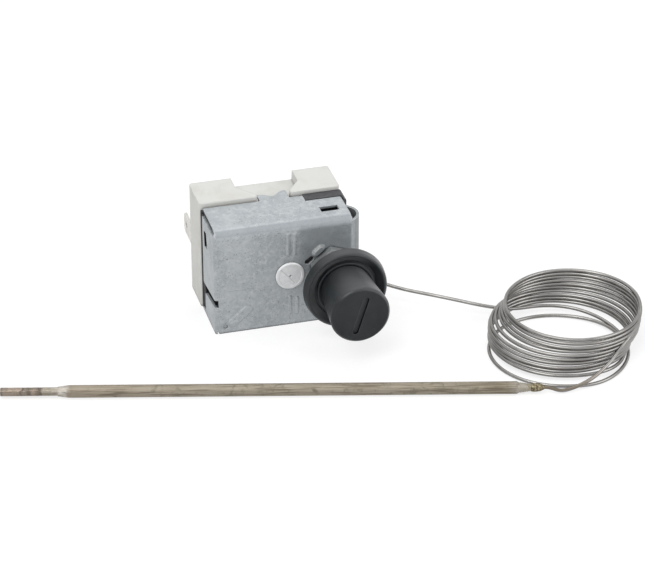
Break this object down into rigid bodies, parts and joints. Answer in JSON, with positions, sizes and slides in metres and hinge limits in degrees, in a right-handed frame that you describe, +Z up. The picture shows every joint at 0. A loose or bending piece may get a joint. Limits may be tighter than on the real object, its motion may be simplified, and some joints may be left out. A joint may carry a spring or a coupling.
{
  "type": "capillary thermostat",
  "caption": "Capillary thermostat: folded steel cover on a ceramic base, flanged reset cap on a front bush, blade terminals, and a coiled capillary to a slim sensing bulb",
  "frame": {"origin": "middle of the ceramic base's underside, on the surface the thermostat stands on", "axes": "+X right seen from the front, +Y to the back where the terminals are, +Z up; the reset cap faces -Y"},
  "size_m": [0.1929, 0.1011, 0.0358],
  "materials": {
    "zinc_plated_steel": "zinc-coated sheet, mottled and lightly scratched",
    "ceramic": "unglazed pressed steatite, matt",
    "insulating_board": "dark fibre insulating board",
    "plated_steel": "zinc-plated steel",
    "turned_steel": "turned and nickel-plated",
    "black_plastic": "black moulding, satin",
    "button_plastic": "red moulding",
    "rod_steel": "drawn wire",
    "spring_steel": "spring wire",
    "stainless": "stainless, heat-tinted at the weld",
    "sealing_compound": "grey plug, satin",
    "pin_ceramic": "ground ceramic",
    "contact_brass": "bare brass",
    "silver": "silver contact facing",
    "terminal_tin": "tin-plated brass",
    "capillary_steel": "bright drawn stainless",
    "bulb_steel": "drawn stainless with a brown heat tint",
    "stub_steel": "stainless darkened by welding",
    "braze": "braze, oxidised"
  },
  "bodies": {
    "housing": {"cover": "zinc_plated_steel", "ceramic_base": "ceramic", "insulating_sheet": "insulating_board", "guide_plate": "plated_steel", "chassis": "plated_steel", "bush": "turned_steel", "panel_nut": "turned_steel", "pressure_capsule": "stainless", "calibration_screw": "plated_steel", "calibration_plug": "sealing_compound", "pivot_bracket": "plated_steel", "pivot_pin": "plated_steel", "fixed_contact": "silver", "contact_strip": "contact_brass", "terminal_left": "terminal_tin", "terminal_right": "terminal_tin", "terminal_rivets": "contact_brass", "assembly_screws": "plated_steel", "reset_spring": "spring_steel", "contact_spring": "spring_steel", "capillary_inner": "capillary_steel", "capillary_ferrule": "stainless", "capillary_lead": "capillary_steel", "capillary_coil": "capillary_steel", "capillary_tail": "capillary_steel", "braze_collar": "braze", "bulb_tube": "bulb_steel", "fill_stub": "stub_steel"},
    "bezel": {"bezel_nut": "black_plastic"},
    "cap": {"reset_cap": "black_plastic"},
    "reset": {"reset_button": "button_plastic", "reset_rod": "rod_steel", "rod_clip": "plated_steel"},
    "pin": {"transmission_pin": "pin_ceramic"},
    "contact": {"contact_rocker": "contact_brass", "moving_contact": "silver"}
  },
  "joints": [
    {"name": "bezel_unscrew", "type": "slide", "parent": "housing", "child": "bezel", "axis": [0, -1, 0], "range_m": [0, 0.016]},
    {"name": "cap_unscrew", "type": "slide", "parent": "bezel", "child": "cap", "axis": [0, -1, 0], "range_m": [0, 0.022]},
    {"name": "reset_press", "type": "slide", "parent": "housing", "child": "reset", "axis": [0, 1, 0], "range_m": [0, 0.002], "stiffness_N_per_m": 500, "springref_m": -0.001, "deforming": ["reset_spring"]},
    {"name": "pin_travel", "type": "slide", "parent": "housing", "child": "pin", "axis": [0, 1, 0], "range_m": [0, 0.0006], "stiffness_N_per_m": 1000, "springref_m": -0.001, "deforming": ["contact_spring"]},
    {"name": "contact_open", "type": "hinge", "parent": "housing", "child": "contact", "pos_m": [0.0103, -0.00125, 0.0171], "axis": [0, 0, -1], "range_deg": [0, 4]}
  ],
  "couplings": [
    {"joint": "contact_open", "follows": "pin_travel", "rad_per_m": 116.28}
  ]
}
